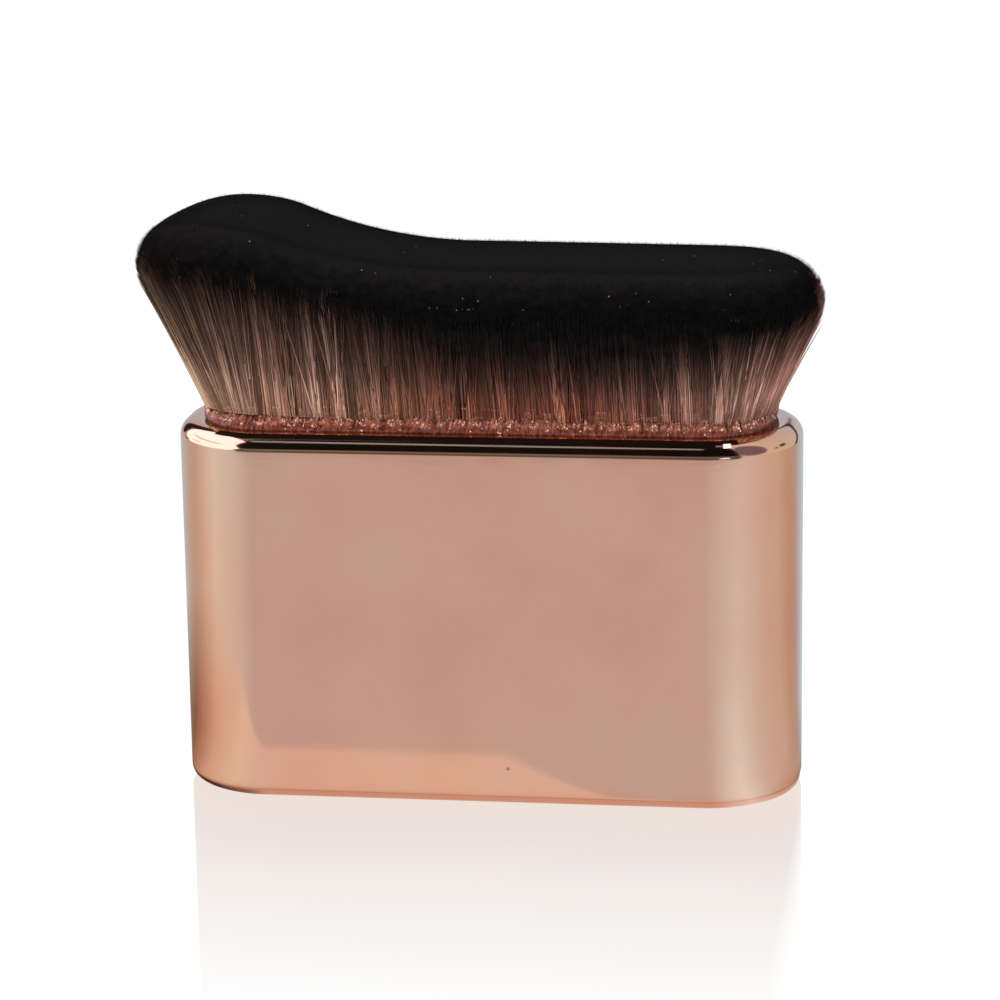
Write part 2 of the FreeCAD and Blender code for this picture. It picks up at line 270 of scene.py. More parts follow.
def close_and_face_out(piece):
    """Merge doubled points and turn every face outwards."""
    work = bmesh.new()
    work.from_mesh(piece.data)
    bmesh.ops.remove_doubles(work, verts=work.verts, dist=1e-6)
    bmesh.ops.recalc_face_normals(work, faces=work.faces)
    work.to_mesh(piece.data)
    work.free()


def dress(node_name, material):
    """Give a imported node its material."""
    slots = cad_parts[node_name].data.materials
    slots.clear()
    slots.append(material)


# Plan and head shape


def stations(radius, corner_steps, side_steps, end_steps):
    """Centres and outward normals round the handle's plan, anticlockwise from +X."""
    reach_x = shell_high.x - radius
    reach_y = shell_high.y - radius
    corners = [(reach_x, reach_y), (-reach_x, reach_y), (-reach_x, -reach_y), (reach_x, -reach_y)]
    centres, normals = [], []
    for quarter, corner in enumerate(corners):
        following = corners[(quarter + 1) % 4]
        for step in range(corner_steps + 1):
            turn = math.pi / 2 * (quarter + step / corner_steps)
            centres.append(corner)
            normals.append((math.cos(turn), math.sin(turn)))
        steps = end_steps if quarter % 2 else side_steps
        turn = math.pi / 2 * (quarter + 1)
        for step in range(1, steps):
            share = step / steps
            centres.append(tuple(a + (b - a) * share for a, b in zip(corner, following)))
            normals.append((math.cos(turn), math.sin(turn)))
    return np.array(centres), np.array(normals)


def swept_faces(rows, columns, closed_rows):
    """Quads between neighbouring rings, each ring closed on itself."""
    faces = []
    for row in range(rows if closed_rows else rows - 1):
        here, following = row * columns, (row + 1) % rows * columns
        for column in range(columns):
            after = (column + 1) % columns
            faces.append((here + column, here + after, following + after, following + column))
    return faces


def grid_faces(rows, columns):
    """Quads of an open grid."""
    corners = [row * columns + column for row in range(rows - 1) for column in range(columns - 1)]
    return [(corner, corner + 1, corner + 1 + columns, corner + columns) for corner in corners]


def arc(centre, radius, start, end, steps):
    """Points of an arc in the plane of inset and height, angles in degrees."""
    turns = np.radians(np.linspace(start, end, steps + 1))
    return [(centre[0] + radius * math.cos(t), centre[1] + radius * math.sin(t)) for t in turns]


def wave_height(x, hair):
    """Height of the trimmed top above the deck at each x: crest arc, hollow arc, level run, low-end arc."""
    x = np.asarray(x, float)
    crest_x = hair.crest_place
    crest_z = hair.plateau_height + hair.crest_rise - hair.crest_radius
    hollow_z = hair.plateau_height + hair.hollow_radius
    reach = hair.crest_radius + hair.hollow_radius
    hollow_x = crest_x + math.sqrt(reach**2 - (hollow_z - crest_z) ** 2)
    meet_x = crest_x + (hollow_x - crest_x) * hair.crest_radius / reach
    crest = crest_z + np.sqrt(np.clip(hair.crest_radius**2 - (x - crest_x) ** 2, 0, None))
    hollow = hollow_z - np.sqrt(np.clip(hair.hollow_radius**2 - (x - hollow_x) ** 2, 0, None))
    run = hair.plateau_height - np.clip(x, 0, None) * hair.run_fall
    low = run - np.clip(x - hair.low_end_place, 0, None) ** 2 / (2 * hair.low_end_radius)
    return np.where(x < meet_x, crest, np.where(x < hollow_x, hollow, low))


def head_grid(hair, radius, side_in, top_in):
    """Surface of the head as rings from the deck up the side, over the rim and in to the middle line.

    Returns the points, what each carries (the root of the fibre that ends there, the head's height and the
    share of the way in from the rim) and the share of the way round.
    """
    centres, normals = stations(radius, 24, 60, 4)
    deck = shell_high.z
    base = radius - hair.root_inset - side_in
    lean = math.tan(hair.lean)

    def top_at(x):
        return wave_height(x, hair) - top_in

    # Where the leaning side meets the top, closed in on by halves.
    height = np.full(len(centres), hair.plateau_height)
    for _ in range(40):
        height = 0.5 * height + 0.5 * top_at(centres[:, 0] + normals[:, 0] * (base + lean * height))
    rim_x = centres[:, 0] + normals[:, 0] * (base + lean * height)
    step = 0.1 * MM
    slope = (top_at(rim_x + step) - top_at(rim_x - step)) / (2 * step) * normals[:, 0]

    up = np.tile([math.sin(hair.lean), math.cos(hair.lean)], (len(centres), 1))
    inward = -np.stack([np.ones_like(slope), slope], 1) / np.sqrt(1 + slope**2)[:, None]
    corner = np.stack([base + lean * height, height], 1)
    half = np.arccos(np.clip((-up * inward).sum(1), -1, 1)) / 2
    tangent = (hair.rim_radius / np.tan(half))[:, None]
    start, end = corner - up * tangent, corner + inward * tangent
    bisector = inward - up
    bisector /= np.linalg.norm(bisector, axis=1)[:, None]
    centre = corner + bisector * (hair.rim_radius / np.sin(half))[:, None]
    angle = math.pi - 2 * half

    foot = np.array([base, 0.0])
    rings = [foot + (start - foot) * (row / SIDE_ROWS) for row in range(SIDE_ROWS)]
    for row in range(RIM_ROWS + 1):
        share = row / RIM_ROWS
        from_start = (np.sin((1 - share) * angle) / np.sin(angle))[:, None]
        from_end = (np.sin(share * angle) / np.sin(angle))[:, None]
        rings.append(centre + ((start - centre) * from_start + (end - centre) * from_end))
    points = [np.column_stack([centres + normals * ring[:, :1], deck + ring[:, 1]]) for ring in rings]
    last = centres + normals * end[:, :1]
    middle = np.stack([centres[:, 0], np.zeros(len(centres))], 1)
    for row in range(1, TOP_ROWS + 1):
        plan = last + (middle - last) * (row / TOP_ROWS)
        points.append(np.column_stack([plan, deck + top_at(plan[:, 0])]))
    points = np.array(points)

    # Fibres that end farther in from the rim start farther in on the deck.
    rows = np.arange(len(points))[:, None]
    arc_length = hair.rim_radius * angle
    flat_length = np.linalg.norm(middle - last, axis=1)
    along = arc_length * np.clip((rows - SIDE_ROWS) / RIM_ROWS, 0, 1)
    along = along + flat_length * np.clip(rows - RIM_END, 0, None) / TOP_ROWS
    depth = along / (arc_length + flat_length)
    level = np.full(len(centres), deck)
    root = np.column_stack([centres + normals * base, level])
    root_middle = np.column_stack([middle, level])
    roots = root + (root_middle - root) * depth[:, :, None] ** hair.root_spread
    ring = centres + normals * radius
    steps = np.linalg.norm(np.roll(ring, -1, 0) - ring, axis=1)
    around = np.concatenate([[0], np.cumsum(steps)]) / steps.sum()
    return points, {"root": roots, "rise": wave_height(points[:, :, 0], hair), "depth": depth}, around


def grid_mesh(name, points, carried, around, rows, first, last):
    """Open strip of the head's surface, whose points carry what their fibres need."""
    columns = [column % points.shape[1] for column in range(first, last + 1)]
    faces = grid_faces(len(rows), len(columns))
    piece = mesh_piece(name, points[rows][:, columns].reshape(-1, 3), faces, None)
    chosen = {label: values[rows][:, columns] for label, values in carried.items()}
    chosen["around"] = np.tile(around[first : last + 1], len(rows))
    for label, values in chosen.items():
        kind, field = ("FLOAT_VECTOR", "vector") if label == "root" else ("FLOAT", "value")
        made = piece.data.attributes.new(label, kind, "POINT")
        made.data.foreach_set(field, values.reshape(-1).astype(np.float32))
    return piece


# Settings


class HandleSettings(bpy.types.PropertyGroup):
    """Sizes and colours of the plated moulding."""

    lip_radius: FloatProperty(name="Lip radius", description="Round edge at the top", default=2.2 * MM, unit="LENGTH")
    foot_radius: FloatProperty(name="Foot radius", description="Round edge below", default=1.5 * MM, unit="LENGTH")
    plan_radius: FloatProperty(
        name="Plan radius", description="Corners seen from above", default=11.2 * MM, unit="LENGTH"
    )
    wall: FloatProperty(name="Wall", description="Wall thickness at the foot", default=2.3 * MM, unit="LENGTH")
    draft: FloatProperty(name="Draft", description="Taper of the core", default=math.radians(0.5), subtype="ANGLE")
    deck_edge: FloatProperty(
        name="Deck edge", description="Round edge of the deck's opening", default=0.15 * MM, unit="LENGTH"
    )
    waviness: FloatProperty(name="Waviness", description="Depth of the sink marks", default=0.02 * MM, unit="LENGTH")
    plating: StringProperty(name="Plating", description="sRGB colour of the plated metal", default="#F2BA9E")
    roughness: FloatProperty(name="Roughness", description="Roughness of the plating", default=0.09, subtype="FACTOR")
    cap: StringProperty(name="Cap", description="sRGB colour of the cap", default="#1C1A1A")


class HairSettings(bpy.types.PropertyGroup):
    """Sizes, counts and colours of the hair."""

    root_inset: FloatProperty(
        name="Root inset", description="Hair root inside the handle's outline",
        default=shell_high.x - cup_high.x + 1.0 * MM, unit="LENGTH",
    )
    plateau_height: FloatProperty(
        name="Plateau height", description="Hair above the deck", default=19.8 * MM, unit="LENGTH"
    )
    crest_rise: FloatProperty(name="Crest rise", description="Crest above the run", default=5.1 * MM, unit="LENGTH")
    crest_radius: FloatProperty(name="Crest radius", description="Curve of the crest", default=20.5 * MM, unit="LENGTH")
    crest_place: FloatProperty(
        name="Crest place", description="Crest along the handle", default=-31.1 * MM, unit="LENGTH"
    )
    hollow_radius: FloatProperty(
        name="Hollow radius", description="Curve beside the crest", default=64 * MM, unit="LENGTH"
    )
    low_end_place: FloatProperty(
        name="Low end place", description="Where the low end starts", default=29.3 * MM, unit="LENGTH"
    )
    low_end_radius: FloatProperty(
        name="Low end radius", description="Curve of the low end", default=92 * MM, unit="LENGTH"
    )
    run_fall: FloatProperty(name="Run fall", description="Slope of the level run", default=0.0105)
    lean: FloatProperty(
        name="Lean", description="How far the outside hair leans out", default=math.radians(24.5), subtype="ANGLE"
    )
    rim_radius: FloatProperty(
        name="Rim radius", description="Rounding of the trimmed rim", default=4.6 * MM, unit="LENGTH"
    )
    root_spread: FloatProperty(
        name="Root spread", description="How fast roots run inwards behind the rim", default=1.5
    )
    side_fibres: IntProperty(name="Side fibres", description="Long fibres in each of six bands", default=6600)
    top_fibres: IntProperty(name="Top fibres", description="Short tips on each half of the top", default=15000)
    width: FloatProperty(
        name="Fibre width", description="Fibre width, drawn a little coarse to show", default=0.18 * MM, unit="LENGTH"
    )
    clump_pull: FloatProperty(
        name="Clump pull", description="How far fibres gather", default=0.7 * MM, unit="LENGTH"
    )
    cross: FloatProperty(
        name="Cross", description="How far the odd fibre leans over its neighbours", default=2.6 * MM, unit="LENGTH"
    )
    root: StringProperty(name="Root", description="sRGB colour of the fibres' feet", default="#A37561")
    root_low: StringProperty(
        name="Root, low end", description="sRGB colour of the feet at the low end", default="#C48F7C"
    )
    root_high: StringProperty(
        name="Root, high end", description="sRGB colour of the feet at the high end", default="#C8A684"
    )
    root_mid: StringProperty(
        name="Root, middle", description="sRGB colour of the feet in the middle", default="#975D46"
    )
    black: StringProperty(name="Black", description="sRGB colour of the tips", default="#141313")
    # Painted shade: the hair behind the drawn fibres sits higher up the dye, so it shows darker between them.
    body_painted_shade: FloatProperty(
        name="Body darker", description="How much higher up the dye the hair behind is", default=0.2
    )
    map_inward: FloatProperty(
        name="Map inward", description="How far the top spreads over the fibres' map", default=0.6
    )
    collar_height: FloatProperty(
        name="Collar height", description="Resin up the foot of the hair", default=1.2 * MM, unit="LENGTH"
    )
    collar_reach: FloatProperty(
        name="Collar reach", description="Resin out from the foot of the hair", default=1.75 * MM, unit="LENGTH"
    )
    collar_pale: StringProperty(name="Collar, pale", description="sRGB colour of the thin resin", default="#7A4030")
    collar_deep: StringProperty(name="Collar, deep", description="sRGB colour of the thick resin", default="#35130D")


class StageSettings(bpy.types.PropertyGroup):
    """Camera and lamps."""

    turn: FloatProperty(
        name="Turn", description="Camera round the brush", default=math.radians(8.2), subtype="ANGLE"
    )
    elevation: FloatProperty(
        name="Elevation", description="Camera above the floor", default=math.radians(13.857), subtype="ANGLE"
    )
    roll: FloatProperty(name="Roll", description="Camera tilt", default=math.radians(-0.845), subtype="ANGLE")
    distance: FloatProperty(name="Distance", description="Camera to the brush", default=0.42899, unit="LENGTH")
    lens: FloatProperty(name="Lens", description="Focal length in mm on a 36 mm sensor", default=127.872)
    offset: FloatVectorProperty(
        name="Offset", description="Brush from the picture's middle, right and up", size=2,
        default=(-1.067 * MM, 0.478 * MM), unit="LENGTH",
    )
    target_height: FloatProperty(
        name="Target height", description="Height that the camera looks at", default=35 * MM, unit="LENGTH"
    )
    key_power: FloatProperty(name="Key power", description="Watts of the long lamp in front", default=2.0)
    fill_power: FloatProperty(name="Fill power", description="Watts of the soft lamp on the left", default=3.2)
    right_share: FloatProperty(
        name="Right lamp", description="Soft lamp on the right, as a share of the left", default=0.8, subtype="FACTOR"
    )


# Materials. A MapRange node takes its value, the two ends that it comes from and the two that it goes to.


def plated_plastic(handle):
    """Electroplated ABS under lacquer: a warm mirror, softened by faint orange peel, haze and fine wiping marks."""
    material, node = blank_material("electroplated_abs_rose_gold")
    place = node("TexCoord").outputs["Object"]
    # Plating thins and thickens over centimetres, so the tone drifts a little.
    drift = node("TexNoise", place, 1 / (16 * MM), Detail=4.0)
    tones = [(0.32, linear("#EFB49C")), (0.5, linear(handle.plating)), (0.68, linear("#EFBFA6"))]
    tone = node("ValToRGB", drift, stops=tones)
    # A few pits the width of a hair, where dust sat under the plating.
    pit = node("MapRange", node("TexVoronoi", place, 1 / (13 * MM)), 0.012, 0.022, 0.45)
    # Wiping marks: stretched across the handle, 0.4 mm apart.
    stretched = node("Mapping", place, Scale=(0.08, 1.0, 1.0), Rotation=(0, 0.5, 0))
    wipes = node("TexNoise", stretched, 1 / (0.4 * MM), Detail=2.0)
    haze = node("TexNoise", place, 1 / (9 * MM), Detail=4.0, Roughness=0.6)
    dull = node("Math MULTIPLY", wipes, haze)
    peel = node("TexNoise", place, 1 / (1.6 * MM), Detail=2.0)
    surface = node(
        "BsdfPrincipled", node("VectorMath SCALE", tone, pit), Metallic=1.0, Coat_Weight=0.1, Coat_Roughness=0.06,
        Roughness=node("MapRange", dull, 0.15, 0.4, handle.roughness * 0.8, handle.roughness * 1.5),
        Normal=node("Bump", Height=peel, Strength=0.06, Distance=0.01 * MM),
    )
    node("OutputMaterial", surface)
    return material


def grained_plastic(name, code, grain, roughness):
    """Moulded plastic from a spark-eroded tool: a dull, even grain that breaks up highlights."""
    material, node = blank_material(name)
    place = node("TexCoord").outputs["Object"]
    colour = linear(code)
    cloud = node("TexNoise", place, 1 / (6 * MM), Detail=3.0)
    tone = node("ValToRGB", cloud, stops=[(0.3, [c * 0.8 for c in colour]), (0.7, colour)])
    grain_and_glint = node("TexNoise", place, 1 / grain, Detail=2.0)
    surface = node(
        "BsdfPrincipled", tone, Roughness=node("MapRange", grain_and_glint, 0.3, 0.7, roughness - 0.08, roughness + 0.08),
        Normal=node("Bump", Height=grain_and_glint, Strength=0.4, Distance=0.03 * MM),
    )
    node("OutputMaterial", surface)
    return material


def zinc_plated_steel():
    """Barrel-plated mild steel bar: bluish grey, with tumbling marks and dull patches."""
    material, node = blank_material("zinc_plated_steel")
    place = node("TexCoord").outputs["Object"]
    patches = node("TexVoronoi", place, 1 / (1.2 * MM)).outputs["Color"]
    tone = node("ValToRGB", patches, stops=[(0.0, linear("#9A9C9F")), (1.0, linear("#B4B6B8"))])
    marks = node("TexNoise", place, 1 / (0.5 * MM), Detail=4.0)
    surface = node(
        "BsdfPrincipled", tone, Metallic=1.0, Roughness=node("MapRange", marks, 0.0, 1.0, 0.25, 0.5),
        Normal=node("Bump", Height=marks, Strength=0.2, Distance=0.02 * MM),
    )
    node("OutputMaterial", surface)
    return material


def cell_foam():
    """Closed-cell polyethylene foam: white, dull, with cut cells a third of a millimetre wide."""
    material, node = blank_material("closed_cell_pe_foam")
    cells = node("TexVoronoi", node("TexCoord").outputs["Object"], 1 / (0.35 * MM))
    tone = node("ValToRGB", cells, stops=[(0.0, linear("#F1F0EC")), (0.8, linear("#C9C7C0"))])
    dents = node("Bump", Height=cells, Strength=0.5, Distance=0.1 * MM, invert=True)
    node("OutputMaterial", node("BsdfPrincipled", tone, Roughness=0.85, Normal=dents))
    return material


def cast_resin(name, pale, deep, clarity):
    """Cast or flowed resin: wet gloss over a clouded, amber body that lets some light through."""
    material, node = blank_material(name)
    place = node("TexCoord").outputs["Object"]
    cloud = node("TexNoise", place, 1 / (1.1 * MM), Detail=5.0)
    tone = node("ValToRGB", cloud, stops=[(0.35, linear(deep)), (0.65, linear(pale))])
    skin = node("TexNoise", place, 1 / (0.3 * MM), Detail=3.0)
    surface = node(
        "BsdfPrincipled", tone, IOR=1.53, Transmission_Weight=clarity,
        Roughness=node("MapRange", cloud, 0.0, 1.0, 0.06, 0.22),
        Normal=node("Bump", Height=skin, Strength=0.5, Distance=0.05 * MM),
    )
    node("OutputMaterial", surface)
    return material


def soaked_resin(hair, foot):
    """Brown resin with hair in it: wet, ribbed by the fibres under it, with painted glints where it meets the air, a
    painted highlight on its shoulder and painted shade at its foot.
    """
    material, node = blank_material("soaked_in_resin_brown")
    place = node("TexCoord").outputs["Object"]
    stretched = node("Mapping", place, Scale=(1.0, 1.0, 0.12))
    ribs = node("TexNoise", stretched, 1 / (0.5 * MM), Detail=5.0, Roughness=0.75)
    tones = [(0.36, linear(hair.collar_deep)), (0.6, linear(hair.collar_pale)), (0.75, linear("#A96A52"))]
    # The bead's wet shoulder gets a painted highlight, pale and bluish, and its foot painted shade.
    level = node("SeparateXYZ", place).outputs["Z"]
    share = node("MapRange", level, foot, foot + hair.collar_height)
    shoulder_highlight_foot_shade = node("ValToRGB", share, stops=[
        (0.0, (0.85, 0.78, 0.72)), (0.35, (0.75, 0.68, 0.64)), (0.55, (1.0, 1.0, 1.05)), (0.75, (1.65, 2.2, 2.5)),
        (1.0, (1.4, 1.8, 2.1)),
    ])
    tone = node("VectorMath MULTIPLY", node("ValToRGB", ribs, stops=tones), shoulder_highlight_foot_shade)
    # Painted glints, bright specks of all sizes, gather in patches along the top edge and are rare at the foot.
    patches = node("MapRange", node("TexNoise", place, 1 / (0.8 * MM), Detail=2.0), 0.4, 0.6)
    glint_crowd = node("Math MULTIPLY", node("MapRange", share, 0.4, 0.95, 0.08, 0.8), patches)
    glint_cells = node("TexVoronoi", place, 1 / (0.27 * MM))
    chance = node("SeparateColor", glint_cells.outputs["Color"]).outputs
    size = node("MapRange", chance["Green"], 0.0, 1.0, 0.25, 0.75)
    core = node("MapRange", glint_cells, 0.15, size, 0.9, 0.0)
    grain_and_glint = node("Math MULTIPLY", node("Math LESS_THAN", chance["Red"], glint_crowd), core)
    glinted = node("Mix", grain_and_glint, tone, rgba(linear("#F2C9B8")), data_type="RGBA")
    raised = node("Bump", Height=ribs, Strength=0.6, Distance=0.12 * MM)
    node("OutputMaterial", node("BsdfPrincipled", glinted, IOR=1.53, Roughness=0.18, Normal=raised))
    return material


def nylon_fibre(hair):
    """Tapered PBT fibre, dip-dyed: pinkish beige and glossy at the foot, through maroon to a dull black tip. Light is
    painted in too: brightened feet, light and shade over the black and pale glints.

    The map's first value is the way round the head, from the low end by the back and the front to the low
    end again, and its second the height as a share of the head's.
    """
    material, node = blank_material("tapered_pbt_fibre_dip_dyed")
    split = node("SeparateXYZ", node("UVMap", uv_map=FIBRE_MAP)).outputs
    around, height = split["X"], split["Y"]
    # 0 at the low end, 1 at the high end, the same on the front and the back.
    end_share = node("Math PINGPONG", node("Math MULTIPLY", around, 2.0), 1.0)

    # One cell for each strand of fibres, a third of a millimetre wide, and one for each clump of strands.
    strand = node("Math FLOOR", node("Math MULTIPLY", around, STRANDS))
    own = node("TexWhiteNoise", strand, noise_dimensions="1D").outputs["Color"]
    own = node("SeparateColor", own).outputs
    pale = node("Math POWER", own["Green"], 3.0)
    clump = node("TexNoise", around, CLUMPS, Detail=2.0, Roughness=0.6, noise_dimensions="1D")

    # Where the dye stops: low over the level run, higher at both ends, and ragged.
    reach = node("Math DIVIDE", height, node("ValToRGB", end_share, stops=DYE_LEVELS))
    reach = node("Math ADD", reach, node("MapRange", own["Red"], 0.0, 1.0, -0.05, 0.05))
    reach = node("Math ADD", reach, node("MapRange", clump, 0.25, 0.75, -0.1, 0.1))
    reach = node("Math ADD", reach, node("MapRange", pale, 0.0, 1.0, 0.03, -0.08))

    codes = [
        (0.0, hair.root_low), (0.1, hair.root_low), (0.2, "#9E7360"), (0.38, hair.root_mid), (0.53, hair.root_mid),
        (0.61, "#84543F"), (0.7, hair.root), (0.78, hair.root), (0.86, "#87624E"), (0.93, "#B18B6E"),
        (1.0, hair.root_high),
    ]
    feet = node("ValToRGB", end_share, stops=[(place, linear(code)) for place, code in codes])
    # The dye creeps down the fibre, so its brown deepens all the way up, and sooner over the level run. Near the feet
    # the fades go above 1: painted light.
    high_fade, middle_fade, low_fade = (
        node("ValToRGB", reach, stops=stops) for stops in (FADE_AT_HIGH_END, FADE_IN_MIDDLE, FADE_AT_LOW_END)
    )
    middle = node("ValToRGB", end_share, stops=[(0.54, 1.0), (0.69, 0.0)])
    low = node("ValToRGB", end_share, stops=[(0.1, 1.0), (0.27, 0.0)])
    fade = node("Mix", middle, high_fade, middle_fade, data_type="RGBA")
    fade = node("Mix", low, fade, low_fade, data_type="RGBA")
    # Strands differ in tone at random; the clumps' lighter and darker runs are partly their own tone and partly painted
    # shade between them.
    brightness = node(
        "Math MULTIPLY", node("MapRange", pale, 0.0, 1.0, 0.57, 1.95), node("MapRange", clump, 0.25, 0.75, 1.33, 0.67)
    )
    brown = node("VectorMath SCALE", node("VectorMath MULTIPLY", feet, fade), brightness)
    # The paler a strand, the greyer.
    greyer = node("Mix", pale, rgba(1.0), (0.88, 1.22, 1.45, 1.0), data_type="RGBA")
    brown = node("VectorMath MULTIPLY", brown, greyer)
    # The dyed tips are dull and faintly clouded, with painted light and shade over them: paler where the trimmed ends
    # catch light.
    spot = node("CombineXYZ", node("Math MULTIPLY", around, CLUMPS), node("Math MULTIPLY", height, 12.0))
    cloud = node("TexNoise", spot, 1.0, Detail=3.0, Roughness=0.6, noise_dimensions="2D")
    stops = [(share / PAINTED_TIP_LIGHT_TOP, value) for share, value in PAINTED_TIP_LIGHT]
    painted_tip_light = node("ValToRGB", node("Math DIVIDE", height, PAINTED_TIP_LIGHT_TOP), stops=stops)
    clouded = node(
        "Math MULTIPLY", node("MapRange", cloud, 0.3, 0.7, -0.4, 0.4), node("MapRange", height, 1.1, 1.4, 1.0, 0.15)
    )
    painted_tip_light = node("Math MULTIPLY", painted_tip_light, node("Math ADD", clouded, 1.0))
    body = node("VectorMath ADD", brown, node("VectorMath SCALE", linear(hair.black), painted_tip_light))

    # Painted glints, a pale colour mixed in: wet resin glints between the feet, and the odd cut end catches the light
    # among the black.
    thread = node("Math FLOOR", node("Math MULTIPLY", around, THREADS))
    shift = node("TexWhiteNoise", thread, noise_dimensions="1D")
    row = node("Math FLOOR", node("Math ADD", node("Math MULTIPLY", height, GLINT_ROWS), shift))
    cell = node("Math ADD", node("Math MULTIPLY", row, 2000.0), thread)
    chance = node("TexWhiteNoise", cell, noise_dimensions="1D").outputs
    wet = node("MapRange", height, 0.03, 0.19, 1.0, 0.0, interpolation_type="SMOOTHSTEP")
    patchy = node("MapRange", clump, 0.35, 0.6, 0.32, 0.03)
    odds = node("Math ADD", node("Math MULTIPLY", wet, patchy), node("MapRange", reach, 0.99, 1.05, 0.0, 0.0006))
    glint = node("Math GREATER_THAN", node("Math ADD", chance["Value"], odds), 1.0)
    shine = node("MapRange", node("SeparateColor", chance["Color"]).outputs["Blue"], 0.0, 1.0, 0.15, 0.9)
    shine = node("Math MULTIPLY", shine, node("MapRange", reach, 0.9, 1.0, 1.0, 0.3))
    glint = node("Math MULTIPLY", glint, shine)
    surface = node(
        "BsdfPrincipled", node("Mix", glint, body, rgba(linear("#F6CDBB")), data_type="RGBA"), IOR=1.5,
        Specular_IOR_Level=node("Math ADD", node("MapRange", reach, 0.2, 0.9, 0.22, 0.0), glint),
        Roughness=node("MapRange", node("Math SUBTRACT", reach, wet), -0.8, 1.0, 0.2, 0.8),
    )
    node("OutputMaterial", surface)
    return material


# Fibres


def fibre_tree(name):
    """Geometry Nodes tree that grows a fibre from its carried root to each point scattered on a strip."""
    tree = bpy.data.node_groups.new(name, "GeometryNodeTree")
    node = partial(add, tree)
    sockets = [
        ("Strip", "Geometry", None),
        ("Density", "Float", 1e7),
        ("Seed", "Int", 1),
        ("Width", "Float", 0.15 * MM),
        ("Segments", "Int", 5),
        ("Shown Length", "Float", 1.0),
        ("Clump Pull", "Float", 0.8 * MM),
        ("Clump Size", "Float", 1.6 * MM),
        ("Cross", "Float", 0.5 * MM),
        ("Length Spread", "Float", 0.02),
        ("Bend", "Float", 0.1),
        ("Taper Power", "Float", 4.0),
        ("Deck", "Float", 0.0),
        ("Map Inward", "Float", 0.0),
        ("Material", "Material", None),
    ]
    for label, kind, default in sockets:
        socket = tree.interface.new_socket(name=label, in_out="INPUT", socket_type="NodeSocket" + kind)
        if default is not None:
            socket.default_value = default
    tree.interface.new_socket(name="Hair", in_out="OUTPUT", socket_type="NodeSocketGeometry")
    given = node("NodeGroupInput").outputs
    position = node("GeometryNodeInputPosition")

    # What a strip's points and each fibre carry.
    carried = {"root": "FLOAT_VECTOR", "tip": "FLOAT_VECTOR"}
    carried.update(dict.fromkeys(("along", "around", "thick", "rise", "depth"), "FLOAT"))
    read = {label: node("GeometryNodeInputNamedAttribute", label, data_type=kind) for label, kind in carried.items()}
    root, tip = read["root"], read["tip"]
    # Random numbers of each fibre, with their ends and the shift of their seed.
    astray, either_way, short, aside, thick = (
        node("FunctionNodeRandomValue", low, high, Seed=node("Math ADD", given["Seed"], shift), data_type="FLOAT")
        for low, high, shift in ((0, 1, 3), (-1, 1, 5), (0, 1, 7), (-0.0027, 0.0027, 11), (0.7, 1.25, 13))
    )

    # Tips gather in clumps, stop a little short, and a few lean over their neighbours.
    gather = node("TexNoise", position, node("Math DIVIDE", 1.0, given["Clump Size"]), Detail=1.0).outputs["Color"]
    gather = node("VectorMath SUBTRACT", gather, (0.5, 0.5, 0.5))
    gather = node("VectorMath SCALE", node("VectorMath MULTIPLY", gather, (1, 1, 0)), given["Clump Pull"])
    straight = node("VectorMath SUBTRACT", position, root)
    outward = node("VectorMath NORMALIZE", node("VectorMath MULTIPLY", straight, (1, 1, 0)))
    sideways = node("VectorMath CROSS_PRODUCT", outward, (0, 0, 1))
    leaning = node("Math MULTIPLY", node("Math POWER", astray, 5.0), either_way)
    leaning = node("VectorMath SCALE", sideways, node("Math MULTIPLY", leaning, given["Cross"]))
    flat = node("VectorMath ADD", gather, leaning)
    length = node("Math SUBTRACT", 1.0, node("Math MULTIPLY", short, given["Length Spread"]))
    fibre = node("VectorMath SCALE", straight, length)
    lowered = node("CombineXYZ", Z=node("Math MULTIPLY", node("VectorMath LENGTH", flat), -0.5))
    reached = node("VectorMath ADD", node("VectorMath ADD", root, fibre), flat)
    stored = {
        "tip": node("VectorMath ADD", reached, lowered),
        "along": node("Math ADD", read["around"], aside),
        "thick": thick,
    }
    points = node(
        "GeometryNodeDistributePointsOnFaces", Mesh=given["Strip"], Density=given["Density"], Seed=given["Seed"],
        distribute_method="RANDOM",
    )
    for label, value in stored.items():
        points = node(
            "GeometryNodeStoreNamedAttribute", Geometry=points, Name=label, Value=value, data_type=carried[label],
            domain="POINT",
        )
    points = node("GeometryNodeSetPosition", Geometry=points, Position=(0, 0, 0))
    cone = node(
        "GeometryNodeMeshCone", Vertices=3, Side_Segments=given["Segments"], Radius_Top=0.0, Radius_Bottom=1.0,
        Depth=1.0, fill_type="NGON",
    )
    hair = node("GeometryNodeRealizeInstances", node("GeometryNodeInstanceOnPoints", Points=points, Instance=cone))

    # Each cone is drawn out between its root and its tip.
    local = node("SeparateXYZ", position).outputs
    share = node("Math POWER", node("Math SUBTRACT", 1.0, local["Z"]), 1.5)
    share = node("Math SUBTRACT", 1.0, node("Math MULTIPLY", share, given["Shown Length"]))
    leant = node("Mix", given["Bend"], share, node("Math MULTIPLY", share, share), data_type="FLOAT")
    span = node("VectorMath SUBTRACT", tip, root)
    span = node("VectorMath MULTIPLY", span, node("CombineXYZ", leant, leant, share))
    line = node("VectorMath ADD", root, span)
    around = node("VectorMath NORMALIZE", node("CombineXYZ", local["X"], local["Y"]))
    taper = node("Math MULTIPLY", node("Math POWER", share, given["Taper Power"]), 0.8)
    taper = node("Math MULTIPLY", node("Math SUBTRACT", 1.0, taper), read["thick"])
    half = node("Math MULTIPLY", node("Math MULTIPLY", given["Width"], 0.5), taper)
    placed = node("VectorMath ADD", line, node("VectorMath SCALE", around, half))

